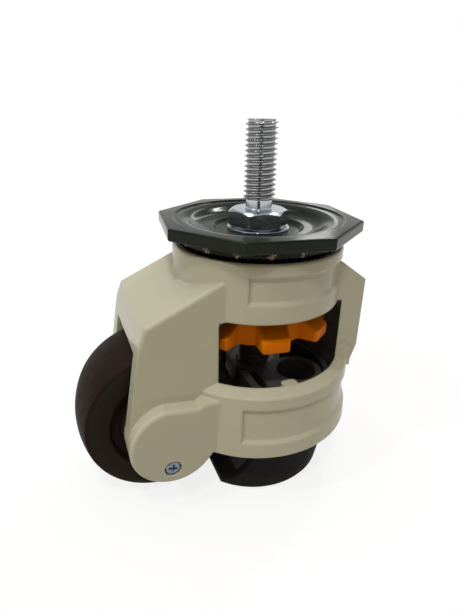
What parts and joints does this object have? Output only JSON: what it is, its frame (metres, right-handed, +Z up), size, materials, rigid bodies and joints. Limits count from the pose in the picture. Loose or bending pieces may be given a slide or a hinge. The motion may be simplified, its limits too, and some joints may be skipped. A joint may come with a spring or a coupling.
{
  "type": "levelling castor",
  "caption": "Levelling castor: a swivelling threaded stem over a cast housing with a nylon wheel behind and a rubber foot screwed down by a thumbwheel.",
  "frame": {"origin": "centre of the seat on top of the stem's hexagon, where the stem enters the machine", "axes": "+Z up along the stem; +X towards the housing's front pillar, away from the wheel; +Y along the wheel's axle, to the left"},
  "size_m": [0.1138, 0.08, 0.1384],
  "materials": {
    "zinc_steel": "bright zinc plate",
    "green_black_steel": "gloss lacquer, very dark green",
    "black_steel": "black oxide, oiled",
    "bright_steel": "ground",
    "keeper_steel": "satin",
    "screw_steel": "bluish zinc plate",
    "bronze": "sintered",
    "ivory_casting": "die casting with semi-gloss ivory paint",
    "wheel_nylon": "moulded nylon, dark brown",
    "orange_plastic": "moulded, orange",
    "black_plastic": "moulded, black",
    "black_rubber": "moulded, matt black"
  },
  "bodies": {
    "mount": {"stem_bolt": "zinc_steel", "stem_washer": "zinc_steel", "top_plate": "green_black_steel", "clamp_cup": "black_steel", "clamp_nut": "black_steel"},
    "housing": {"housing": "ivory_casting", "upper_race": "bright_steel", "upper_balls": "bright_steel", "lower_balls": "bright_steel", "axle": "bright_steel", "bearing_spacer": "bright_steel", "inner_ring_left": "bright_steel", "inner_ring_right": "bright_steel", "axle_collar_left": "bright_steel", "axle_collar_right": "bright_steel", "axle_keeper_left": "keeper_steel", "axle_keeper_right": "keeper_steel", "keeper_screw_left": "screw_steel", "keeper_screw_right": "screw_steel", "thrust_plate": "black_steel", "journal_bush": "bronze", "thrust_washer": "bronze", "plate_screws": "screw_steel"},
    "wheel": {"wheel": "wheel_nylon", "outer_ring_left": "bright_steel", "outer_ring_right": "bright_steel", "bearing_balls_left": "bright_steel", "bearing_balls_right": "bright_steel", "bearing_shield_left": "bright_steel", "bearing_shield_right": "bright_steel"},
    "adjuster": {"adjuster_screw": "black_steel", "journal_clip": "black_steel", "thumbwheel": "orange_plastic", "drive_pin": "bright_steel"},
    "foot": {"foot_carrier": "black_plastic", "foot_nut": "bright_steel", "foot_pad": "black_rubber", "pad_screws": "screw_steel"}
  },
  "joints": [
    {"name": "swivel", "type": "hinge", "parent": "mount", "child": "housing", "pos_m": [0, 0, 0], "axis": [0, 0, 1], "continuous": true},
    {"name": "wheel_spin", "type": "hinge", "parent": "housing", "child": "wheel", "pos_m": [-0.0423, 0, -0.0762], "axis": [0, 1, 0], "continuous": true},
    {"name": "adjuster_turn", "type": "hinge", "parent": "housing", "child": "adjuster", "pos_m": [0, 0, 0], "axis": [0, 0, 1], "range_deg": [-810, 1440]},
    {"name": "foot_travel", "type": "slide", "parent": "housing", "child": "foot", "axis": [0, 0, 1], "range_m": [-0.00801, 0.00451]}
  ],
  "couplings": [
    {"joint": "foot_travel", "follows": "adjuster_turn", "m_per_rad": -0.00031831}
  ]
}
